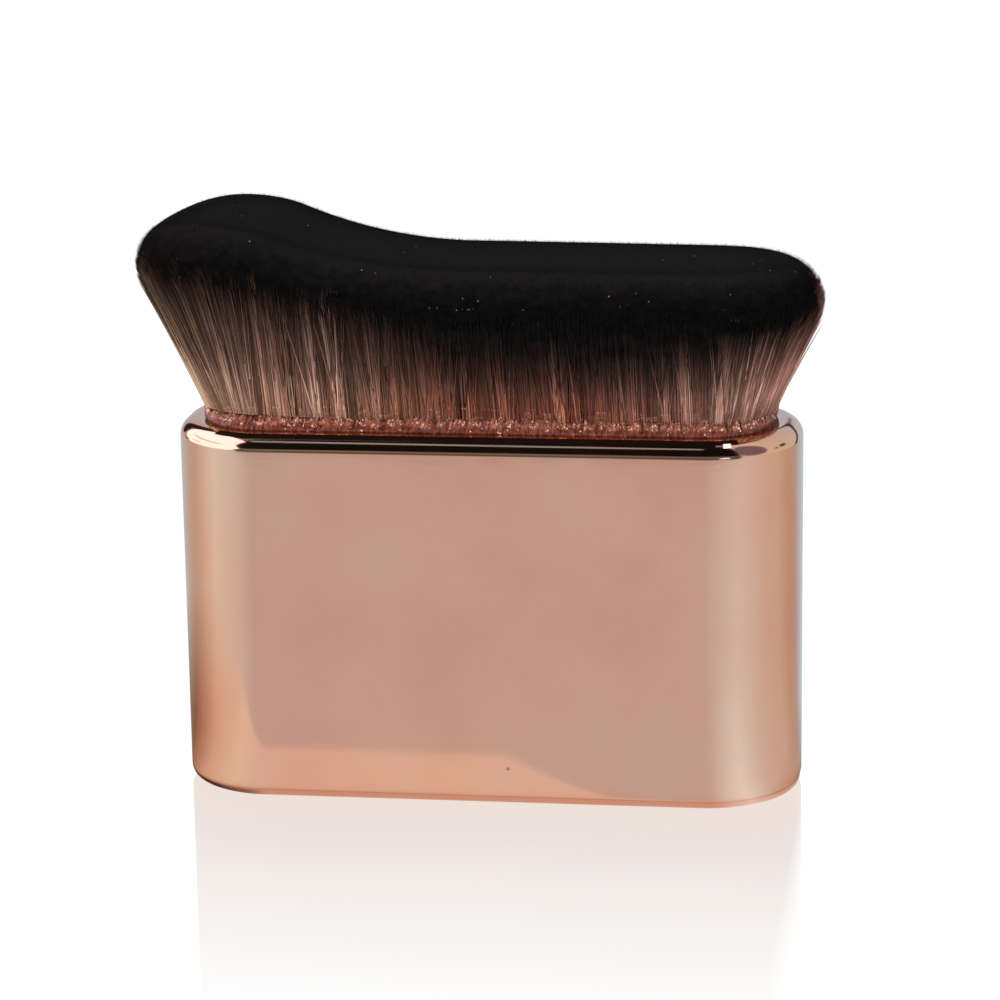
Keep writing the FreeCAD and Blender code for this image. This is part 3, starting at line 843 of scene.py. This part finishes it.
    # The map: the way round with a hair's breadth for the cone's three sides, and height share.
    raised = node("Math SUBTRACT", node("SeparateXYZ", line).outputs["Z"], given["Deck"])
    raised = node("Math DIVIDE", raised, read["rise"])
    raised = node("Math ADD", raised, node("Math MULTIPLY", read["depth"], given["Map Inward"]))
    side = node("Math ADD", local["X"], node("Math MULTIPLY", local["Y"], 2.0))
    across = node("Math ADD", read["along"], node("Math MULTIPLY", side, 0.0003))
    lifted = node("Math ADD", raised, node("Math MULTIPLY", local["Y"], 0.002))
    hair = node(
        "GeometryNodeStoreNamedAttribute", Geometry=hair, Name=FIBRE_MAP, Value=node("CombineXYZ", across, lifted),
        data_type="FLOAT2", domain="CORNER",
    )
    hair = node("GeometryNodeSetPosition", Geometry=hair, Position=placed)
    for label in carried:
        hair = node("GeometryNodeRemoveAttribute", Geometry=hair, Name=label)
    hair = node("GeometryNodeRealizeInstances", node("GeometryNodeSetShadeSmooth", hair))
    node("NodeGroupOutput", node("GeometryNodeSetMaterial", hair, Material=given["Material"]))
    return tree


def grow(strip, tree, name, settings):
    """Run the fibre tree on a strip and keep the result as a plain mesh object."""
    modifier = strip.modifiers.new("fibres", "NODES")
    modifier.node_group = tree
    for item in tree.interface.items_tree:
        if item.item_type == "SOCKET" and item.in_out == "INPUT" and item.name in settings:
            modifier[item.identifier] = settings[item.name]
    bpy.context.view_layer.update()
    grown = bpy.data.meshes.new_from_object(strip.evaluated_get(bpy.context.evaluated_depsgraph_get()))
    bpy.data.objects.remove(strip)
    grown.name = name
    piece = bpy.data.objects.new(name, grown)
    bpy.context.scene.collection.objects.link(piece)
    return piece


# Operators


class BRUSH_OT_handle(bpy.types.Operator):
    """Make the plated moulding with true rounds and a faint, real waviness."""

    bl_idname = "brush.handle"
    bl_label = "Plated handle"

    def execute(self, context):
        handle = context.scene.brush_handle
        centres, normals = stations(handle.plan_radius, 40, 60, 4)
        height, under = shell_high.z, cup_high.z
        foot, lip, edge = handle.foot_radius, handle.lip_radius, handle.deck_edge
        # The hair stands a little inside the deck's opening.
        opening = context.scene.brush_hair.root_inset - 0.1 * MM
        profile = [(handle.wall, 0.0)]
        profile += arc((foot, foot), foot, 270, 180, 12)
        profile += [(0.0, z) for z in np.linspace(foot, height - lip, 18)[1:-1]]
        profile += arc((lip, height - lip), lip, 180, 90, 20)
        profile += arc((opening - edge, height - edge), edge, 90, 0, 5)
        outside = len(profile)
        profile += [(opening, under), (handle.wall + math.tan(handle.draft) * under, under)]
        points = []
        for index, (inset, level) in enumerate(profile):
            for centre, normal in zip(centres, normals):
                x, y = centre + normal * (handle.plan_radius - inset)
                sink = noise.noise(Vector((x, y * 2, level)) / SINK_WIDTH) * handle.waviness if index < outside else 0
                points.append((x + normal[0] * sink, y + normal[1] * sink, level))
        faces = swept_faces(len(profile), len(centres), True)
        piece = mesh_piece("handle_plated", points, faces, plated_plastic(handle))
        close_and_face_out(piece)
        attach(piece, "root")
        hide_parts("handle_shell")
        return {"FINISHED"}


class BRUSH_OT_inside(bpy.types.Operator):
    """Give the cap and the parts inside the handle their finishes."""

    bl_idname = "brush.inside"
    bl_label = "Parts inside"

    def execute(self, context):
        cap = context.scene.brush_handle.cap
        dress("base_cap", grained_plastic("moulded_abs_black_spark_grain", cap, 0.25 * MM, 0.55))
        dress("hair_cup", grained_plastic("moulded_nylon_natural", "#D9D2C2", 0.4 * MM, 0.45))
        dress("ballast_plate", zinc_plated_steel())
        dress("ballast_tape", cell_foam())
        dress("potting_resin", cast_resin("cast_epoxy_amber", "#B98A4C", "#8A5A28", 0.2))
        dress("cup_bond", cast_resin("hot_melt_adhesive_milky", "#E8DCBC", "#D5C49A", 0.15))
        return {"FINISHED"}


class BRUSH_OT_collar(bpy.types.Operator):
    """Make the resin that has crept out of the foot of the hair and up between the fibres."""

    bl_idname = "brush.collar"
    bl_label = "Resin collar"

    def execute(self, context):
        hair, radius = context.scene.brush_hair, context.scene.brush_handle.plan_radius
        low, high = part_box("resin_collar")
        centres, normals = stations(radius, 150, 420, 20)
        root = radius - hair.root_inset
        points = []
        for row in range(COLLAR_ROWS):
            share = row / (COLLAR_ROWS - 1)
            for centre, normal in zip(centres, normals):
                spot = Vector((*(centre + normal * root), 0))
                ridge = noise.noise(spot / FINE_RIB) + 0.7 * noise.noise(spot / BROAD_RIB)
                sag = noise.noise(spot / SAG)
                tall = hair.collar_height * (1 + (0.25 + 0.3 * share**4) * ridge + 0.3 * sag)
                spill = hair.collar_reach * (0.3 + 0.7 * normal[1] ** 2)
                bulge = spill * (1 - 0.8 * share**2) * (1 + 0.2 * ridge * share + 0.06 * sag)
                reach = root + bulge + tall * share * math.tan(hair.lean)
                points.append((*(centre + normal * reach), low.z + tall * share))
        for level in (high.z + 1.2 * MM, low.z - 0.4 * MM):
            points += [(x, y, level) for x, y in centres + normals * (root - COLLAR_IN)]
        faces = swept_faces(COLLAR_ROWS + 2, len(centres), True)
        piece = mesh_piece("collar_bead", points, faces, soaked_resin(hair, low.z))
        close_and_face_out(piece)
        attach(piece, "root")
        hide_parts("resin_collar")
        return {"FINISHED"}


class BRUSH_OT_hair(bpy.types.Operator):
    """Grow the hair: a dense body, six bands of long fibres and the tips on the trimmed top."""

    bl_idname = "brush.hair"
    bl_label = "Hair"

    def execute(self, context):
        hair, radius = context.scene.brush_hair, context.scene.brush_handle.plan_radius
        material = nylon_fibre(hair)
        pieces = [self.body(hair, radius, material)]
        points, carried, around = head_grid(hair, radius, 0.0, 0.0)
        count = points.shape[1]
        tree = fibre_tree("fibres")
        shared = {"Material": material, "Deck": shell_high.z, "Width": hair.width, "Clump Pull": hair.clump_pull}
        side = {"Segments": 5, "Shown Length": 1.0, "Cross": hair.cross, "Length Spread": 0.016}
        top = {
            "Segments": 2, "Shown Length": 0.1, "Cross": 0.1 * MM, "Length Spread": 0.012, "Clump Pull": 0.12 * MM,
            "Taper Power": 12.0, "Map Inward": hair.map_inward,
        }
        # Name, number of strips, first seed, rows of the head's surface, fibres on each strip and their settings.
        groups = [
            ("hair_side", BANDS, 11, range(SIDE_ROWS, RIM_END + 3), hair.side_fibres, side),
            ("hair_top", 2, 31, range(RIM_END, len(points)), hair.top_fibres, top),
        ]
        for name, strips, seed, rows, fibres, settings in groups:
            for index in range(strips):
                first, last = count * index // strips, count * (index + 1) // strips
                strip = grid_mesh("strip", points, carried, around, list(rows), first, last)
                area = sum(polygon.area for polygon in strip.data.polygons)
                chosen = {**shared, **settings, "Density": fibres / area, "Seed": seed + index}
                pieces.append(grow(strip, tree, f"{name}_{index + 1}", chosen))
        for piece in pieces:
            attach(piece, "root")
            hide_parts("bristle_tuft")
        return {"FINISHED"}

    def body(self, hair, radius, material):
        """Dense hair behind the drawn fibres, just inside their tips, mapped higher up the dye as painted shade between
        them.
        """
        points, carried, around = head_grid(hair, radius, BODY_IN, BODY_DOWN)
        count = points.shape[1]
        sunk = points[0].copy()
        sunk[:, 2] = shell_high.z - BODY_SUNK
        closed = sunk.copy()
        closed[:, 1] = 0
        closed[:, 0] = np.clip(closed[:, 0], radius - shell_high.x, shell_high.x - radius)
        rings = np.concatenate([[closed, sunk], points])
        piece = mesh_piece("hair_body", rings.reshape(-1, 3), swept_faces(len(rings), count, False), material)
        fibre_map = piece.data.uv_layers.new(name=FIBRE_MAP)
        for face in piece.data.polygons:
            # The last column's faces reach round to the first, where the map ends.
            closing = max(vertex % count for vertex in face.vertices) == count - 1
            for loop_index in face.loop_indices:
                vertex = piece.data.loops[loop_index].vertex_index
                row, column = divmod(vertex, count)
                x, _, z = piece.data.vertices[vertex].co
                height = (z - shell_high.z) / float(wave_height(x, hair))
                depth = carried["depth"][max(row - 2, 0), column] * hair.map_inward
                place = around[count if closing and column == 0 else column]
                # The hair behind is mapped higher up the dye: painted shade between the fibres.
                fibre_map.data[loop_index].uv = (place, height + hair.body_painted_shade + depth)
        close_and_face_out(piece)
        return piece


class BRUSH_OT_stage(bpy.types.Operator):
    """Set the pale floor, the lamps, the light that the plating mirrors, and the camera."""

    bl_idname = "brush.stage"
    bl_label = "Stage"

    def execute(self, context):
        stage, radius = context.scene.brush_stage, context.scene.brush_handle.plan_radius
        context.scene.view_settings.view_transform = "Standard"
        self.world(context)
        self.floor()
        self.mirrored_floor(radius)
        self.mirrored_room()
        self.cards(radius)
        self.lamps(context, stage)
        self.camera(context, stage)
        return {"FINISHED"}

    def world(self, context):
        """Even pale air: white behind the brush, softer where it only lights it."""
        world = bpy.data.worlds.new("pale_air")
        node = blank_tree(world)
        strength = node("MapRange", node("LightPath").outputs["Is Camera Ray"], 0.0, 1.0, 0.36, 1.05)
        node("OutputWorld", node("Background", rgba(1.0), strength))
        context.scene.world = world

    def flat(self, name, size, level, material):
        points = [(-size, -size, level), (size, -size, level), (size, size, level), (-size, size, level)]
        return mesh_piece(name, points, [(0, 1, 2, 3)], material)

    def floor(self):
        """Back-lit white sheet with a polished face, which mirrors the handle faintly near its foot."""
        material, node = blank_material("stage_white_sheet")
        place = node("SeparateXYZ", node("TexCoord").outputs["Object"]).outputs
        polish = node("ValToRGB", node("MapRange", place["Y"], -85 * MM, 15 * MM), stops=FLOOR_POLISH)
        # The polish lies under the brush alone, and shows only from low down.
        aside = node("MapRange", node("Math ABSOLUTE", place["X"]), 37.8 * MM, 40.2 * MM, 1.0, 0.0)
        low = node("MapRange", node("LayerWeight", 0.5).outputs["Facing"], 0.35, 0.65)
        polish = node("VectorMath SCALE", polish, node("Math MULTIPLY", aside, low))
        # Half of the polish's light comes back from the pale wall behind, and the sheet's own makes up the rest.
        rest = node("VectorMath ADD", node("VectorMath SCALE", polish, -0.5), (1.03, 1.03, 1.03))
        strength = node("MapRange", node("LightPath").outputs["Is Camera Ray"], 0.0, 1.0, 0.3, 1.0)
        both = node("AddShader", node("Emission", rest, strength), node("BsdfGlossy", polish, 0.03))
        # Seen from underneath the sheet isn't there, so that the cap shows.
        under = node("NewGeometry").outputs["Backfacing"]
        node("OutputMaterial", node("MixShader", under, both, node("BsdfTransparent")))
        piece = self.flat("stage_floor", FLOOR_SIZE, FLOOR_LEVEL, material)
        piece.visible_glossy = False

    def only_mirrored(self, piece):
        piece.visible_camera = piece.visible_diffuse = piece.visible_shadow = piece.visible_transmission = False

    def glow(self, node, colour):
        """Finish a material that gives light to reflections alone.

        Where the floor mirrors the handle, what the handle mirrors in turn is kept dim and even.
        """
        again = node("Math GREATER_THAN", node("LightPath").outputs["Glossy Depth"], 1.5)
        shown = node("Mix", again, colour, rgba(MIRRORED_AGAIN), data_type="RGBA")
        node("OutputMaterial", node("Emission", shown))

    def bearing(self, node, x, y):
        """Bearing from the front as a share of the whole turn, with the front at a half."""
        turn = node("Math ARCTAN2", x, node("Math MULTIPLY", y, -1.0))
        return node("Math MULTIPLY_ADD", turn, 1 / (2 * math.pi), 0.5)

    def mirrored_floor(self, radius):
        """What the upright walls mirror: the sheet near the brush, lit from both sides, with a painted shadow at its
        foot.
        """
        material, node = blank_material("stage_mirrored_sheet")
        # Bearing and distance from the handle's middle line, so that upright stripes stay upright.
        place = node("SeparateXYZ", node("TexCoord").outputs["Object"]).outputs
        x, y = place["X"], place["Y"]
        line = shell_high.x - radius
        off_x = node("Math SUBTRACT", x, node("Math MINIMUM", node("Math MAXIMUM", x, -line), line))
        bearing = self.bearing(node, off_x, y)
        away = node("VectorMath LENGTH", node("CombineXYZ", off_x, y))
        away = node("Math SUBTRACT", away, shell_high.y)
        far, strip, reach, foot, flare, dark = (
            node("ValToRGB", bearing, stops=bearing_stops(stops))
            for stops in (SHEET_FAR, SHEET_NEAR, SHEET_REACH, SHEET_FOOT, SHEET_FLARE, SHEET_GONE)
        )
        # The near strip is as deep as a finger, spreads up the left end and narrows to the right.
        cut = node("ValToRGB", node("Math DIVIDE", x, 20 * MM), stops=SHEET_CUT)
        inside = node("Math MULTIPLY_ADD", cut, 20 * MM, away)
        reach = node("SeparateXYZ", reach).outputs
        start, end = (node("Math MULTIPLY", reach[axis], 0.1) for axis in "XY")
        sheet = node("Mix", node("MapRange", inside, start, end, 1.0, 0.0), far, strip, data_type="RGBA")
        # Close to the foot the sheet darkens, a painted shadow, and what the foot's rounding mirrors, painted shade,
        # takes its place.
        beside = node("Math DIVIDE", away, 8 * MM)
        shades = [(0.0, 0.0), (0.1, (0.55, 0.42, 0.37)), (0.3, (0.93, 0.86, 0.8)), (0.7, (1.0, 0.97, 0.95)), (1.0, 1.0)]
        sheet = node("VectorMath MULTIPLY", sheet, node("ValToRGB", beside, stops=shades))
        foot = node("VectorMath SCALE", foot, node("ValToRGB", beside, stops=[(0.0, 1.0), (0.16, 0.0)]))
        sheet = node("VectorMath ADD", sheet, foot)
        fall = node("ValToRGB", node("Math DIVIDE", away, 70 * MM), stops=[(0.0, 1.0), (0.3, 0.5), (1.0, 0.0)])
        sheet = node("VectorMath ADD", sheet, node("VectorMath SCALE", flare, fall))
        # Far off in front the sheet gives way to the dark room, which the lip's lower edge mirrors.
        gone = node("Math MULTIPLY", dark, node("MapRange", away, SHEET_GONE_FROM, SHEET_GONE_TO))
        self.glow(node, node("VectorMath SCALE", sheet, node("Math SUBTRACT", 1.0, gone)))
        self.only_mirrored(self.flat("stage_mirrored_sheet", SHEET_SIZE, SHEET_LEVEL, material))

    def mirrored_room(self):
        """What the lip and the deck mirror: a dark room in front and soft walls elsewhere."""
        material, node = blank_material("stage_mirrored_room")
        place = node("SeparateXYZ", node("VectorMath NORMALIZE", node("TexCoord").outputs["Object"])).outputs
        bearing = self.bearing(node, place["X"], place["Y"])
        self.glow(node, node("ValToRGB", bearing, stops=bearing_stops(ROOM_WALLS)))
        points, faces = self.patch(ROOM_RADIUS, (-180, 180), (-2, 90), 0.0)
        self.only_mirrored(mesh_piece("stage_mirrored_room", points, faces, material))

    def on_sphere(self, radius, bearing, lift):
        """Point round the brush at a bearing from the front and a lift, in degrees."""
        turn, rise = math.radians(bearing), math.radians(lift)
        flat = radius * math.cos(rise)
        return flat * math.sin(turn), -flat * math.cos(turn), radius * math.sin(rise)

    def patch(self, radius, bearings, lifts, roundness):
        """Points and faces of part of a sphere between two bearings and two lifts; roundness 1 makes it oval."""
        turns, rises = bearings[1] - bearings[0], lifts[1] - lifts[0]
        columns, rows = max(12, int(turns / 6)), max(12, int(rises / 6))
        points = []
        for row in range(rows + 1):
            for column in range(columns + 1):
                across, up = 2 * column / columns - 1, 2 * row / rows - 1
                wide = across * math.sqrt(1 - roundness * up**2 / 2)
                tall = up * math.sqrt(1 - roundness * across**2 / 2)
                bearing, lift = (sum(bearings) + turns * wide) / 2, (sum(lifts) + rises * tall) / 2
                points.append(self.on_sphere(radius, bearing, lift))
        return points, grid_faces(rows + 1, columns + 1)

    def card(self, name, points, faces, colour):
        """Plain card that only the plating sees."""
        material, node = blank_material("stage_card_" + name)
        self.glow(node, rgba(colour))
        self.only_mirrored(mesh_piece("stage_card_" + name, points, faces, material))

    def cards(self, radius):
        """Window, lines of light, screens and flags that the lip mirrors."""
        for index, (name, bearings, lifts, colour) in enumerate(CARDS):
            points, faces = self.patch(CARD_RADIUS - CARD_STEP * index, bearings, lifts, CARD_ROUNDNESS)
            self.card(name, points, faces, colour)
        # The dark edge bends round the corner.
        points = []
        for index, (bearing, lift) in enumerate(EDGE_PATH):
            before, after = EDGE_PATH[max(index - 1, 0)], EDGE_PATH[min(index + 1, len(EDGE_PATH) - 1)]
            along = Vector((after[0] - before[0], after[1] - before[1])).normalized() * EDGE_HALF_WIDTH
            for side in (-1, 1):
                points.append(self.on_sphere(EDGE_RADIUS, bearing - along.y * side, lift + along.x * side))
        self.card("edge", points, grid_faces(len(EDGE_PATH), 2), EDGE_COLOUR)
        # A dark strip over the lip keeps the hair's foot out of it, so the lip shows a painted dark reflection there,
        # and a spark stands at its right corner.
        for index, (name, insets, left, right, colour) in enumerate(OVER_LIP):
            places = [(-1, math.radians(turn)) for turn in left] + [(1, math.radians(turn)) for turn in right]
            points = []
            for out in (radius - inset for inset in insets):
                for end, turn in places:
                    x = end * (shell_high.x - radius) + out * math.sin(turn)
                    y = shell_low.y + radius - out * math.cos(turn)
                    points.append((x, y, shell_high.z + OVER_LIP_HEIGHT - OVER_LIP_STEP * index))
            self.card(name, points, grid_faces(2, len(places)), colour)

    def lamps(self, context, stage):
        """Long lamp in front and a soft lamp on each side, aimed at the middle of the brush."""
        lamps = [
            ("key", (-0.12, -0.5, 0.13), (0.4, 0.2), stage.key_power, WARM),
            ("left_soft", (-0.45, -0.32, 0.4), (0.4, 0.4), stage.fill_power, WARM),
            ("right_soft", (0.48, -0.25, 0.34), (0.35, 0.35), stage.fill_power * stage.right_share, COOL),
        ]
        for name, place, size, power, colour in lamps:
            data = bpy.data.lights.new(name, "AREA")
            data.shape = "RECTANGLE"
            data.size, data.size_y = size
            data.energy, data.color = power, colour
            lamp = bpy.data.objects.new(name, data)
            context.scene.collection.objects.link(lamp)
            aim = Vector((0, 0, LAMP_AIM)) - Vector(place)
            lamp.matrix_world = Matrix.Translation(place) @ aim.to_track_quat("-Z", "Y").to_matrix().to_4x4()
            lamp.visible_glossy = lamp.visible_camera = False

    def camera(self, context, stage):
        """Camera at the photograph's angle, worked out from the fitted view."""
        turn = Matrix.Rotation(stage.turn, 3, "Z")
        rise, roll = stage.elevation, stage.roll
        forward = Vector((0, math.cos(rise), -math.sin(rise)))
        right, up = Vector((1, 0, 0)), Vector((0, math.sin(rise), math.cos(rise)))
        level = right * math.cos(roll) + up * math.sin(roll)
        upright = up * math.cos(roll) - right * math.sin(roll)
        target = Vector((0, 0, stage.target_height))
        place = turn @ (target - level * stage.offset[0] - upright * stage.offset[1] - forward * stage.distance)
        data = bpy.data.cameras.new("view")
        data.sensor_width, data.lens, data.clip_start = 36.0, stage.lens, 0.01
        camera = bpy.data.objects.new("view", data)
        axes = Matrix((turn @ level, turn @ upright, turn @ -forward)).transposed()
        camera.matrix_world = Matrix.Translation(place) @ axes.to_4x4()
        context.scene.collection.objects.link(camera)
        context.scene.camera = camera


class BRUSH_PT_panel(bpy.types.Panel):
    """Lists the steps that dress the brush."""

    bl_label = "Kabuki brush"
    bl_idname = "BRUSH_PT_panel"
    bl_space_type = "VIEW_3D"
    bl_region_type = "UI"
    bl_category = "Brush"

    def draw(self, context):
        for group in (context.scene.brush_handle, context.scene.brush_hair, context.scene.brush_stage):
            box = self.layout.box()
            for name in group.__annotations__:
                box.prop(group, name)
        for operator in OPERATORS:
            self.layout.operator(operator.bl_idname)


GROUPS = {"brush_handle": HandleSettings, "brush_hair": HairSettings, "brush_stage": StageSettings}
OPERATORS = [BRUSH_OT_handle, BRUSH_OT_inside, BRUSH_OT_collar, BRUSH_OT_hair, BRUSH_OT_stage]


def register():
    for name, group in GROUPS.items():
        bpy.utils.register_class(group)
        setattr(bpy.types.Scene, name, PointerProperty(type=group))
    for part in OPERATORS + [BRUSH_PT_panel]:
        bpy.utils.register_class(part)


def unregister():
    for part in reversed(OPERATORS + [BRUSH_PT_panel]):
        bpy.utils.unregister_class(part)
    for name, group in GROUPS.items():
        delattr(bpy.types.Scene, name)
        bpy.utils.unregister_class(group)


def main():
    register()
    bpy.ops.brush.handle()
    bpy.ops.brush.inside()
    bpy.ops.brush.collar()
    bpy.ops.brush.hair()
    bpy.ops.brush.stage()


if __name__ == "__main__":
    main()
